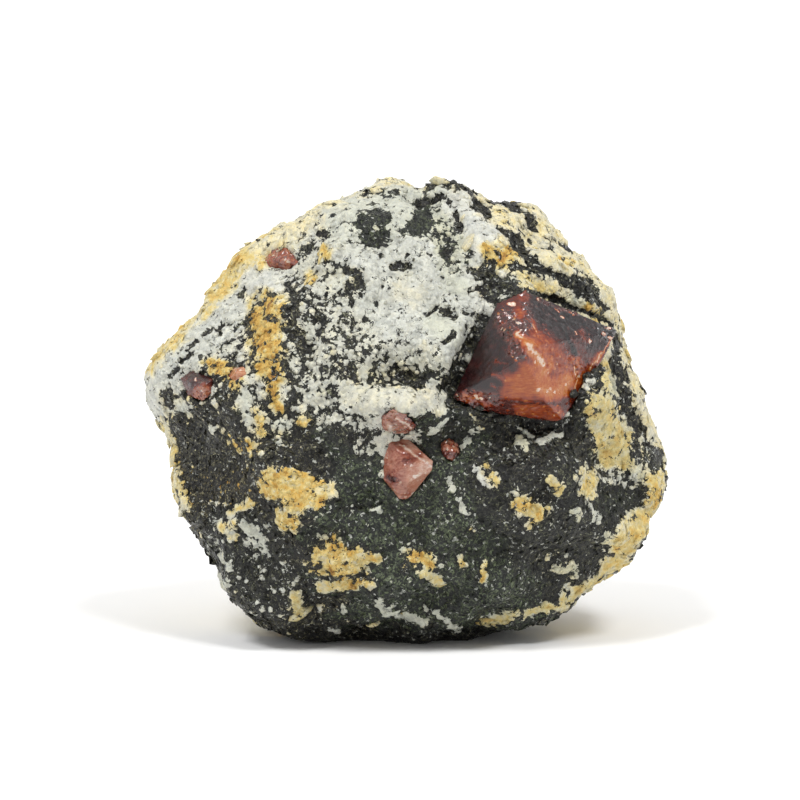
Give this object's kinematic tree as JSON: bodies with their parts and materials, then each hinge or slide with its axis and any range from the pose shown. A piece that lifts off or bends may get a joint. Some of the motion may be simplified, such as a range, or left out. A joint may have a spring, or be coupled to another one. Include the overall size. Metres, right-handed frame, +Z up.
{
  "type": "zircon on matrix",
  "caption": "Hand specimen of dark mica and pale feldspar rock with a large blunt-pyramid zircon and small zircons in its face, resting on a flat foot.",
  "frame": {"origin": "centre of the bounding box's lower face, on the plane the foot rests on", "axes": "+X to the right along the broad face, +Y from the face with the crystals towards the back, +Z up"},
  "size_m": [0.0518, 0.0358, 0.0455],
  "materials": {
    "rock": "rough broken rock of feldspar, dark mica and ochre stains",
    "zircon_dark": "greasy gloss, translucent red-brown to orange",
    "zircon_pale": "translucent pinkish tan with fine striations",
    "zircon_red": "glossy translucent dark red"
  },
  "bodies": {
    "root": {"matrix": "rock", "zircon_great": "zircon_dark", "zircon_centre": "zircon_pale", "zircon_centre_upper": "zircon_pale", "zircon_bead": "zircon_red", "zircon_upper_left": "zircon_red", "zircon_left": "zircon_red", "zircon_left_small": "zircon_red"}
  },
  "joints": []
}
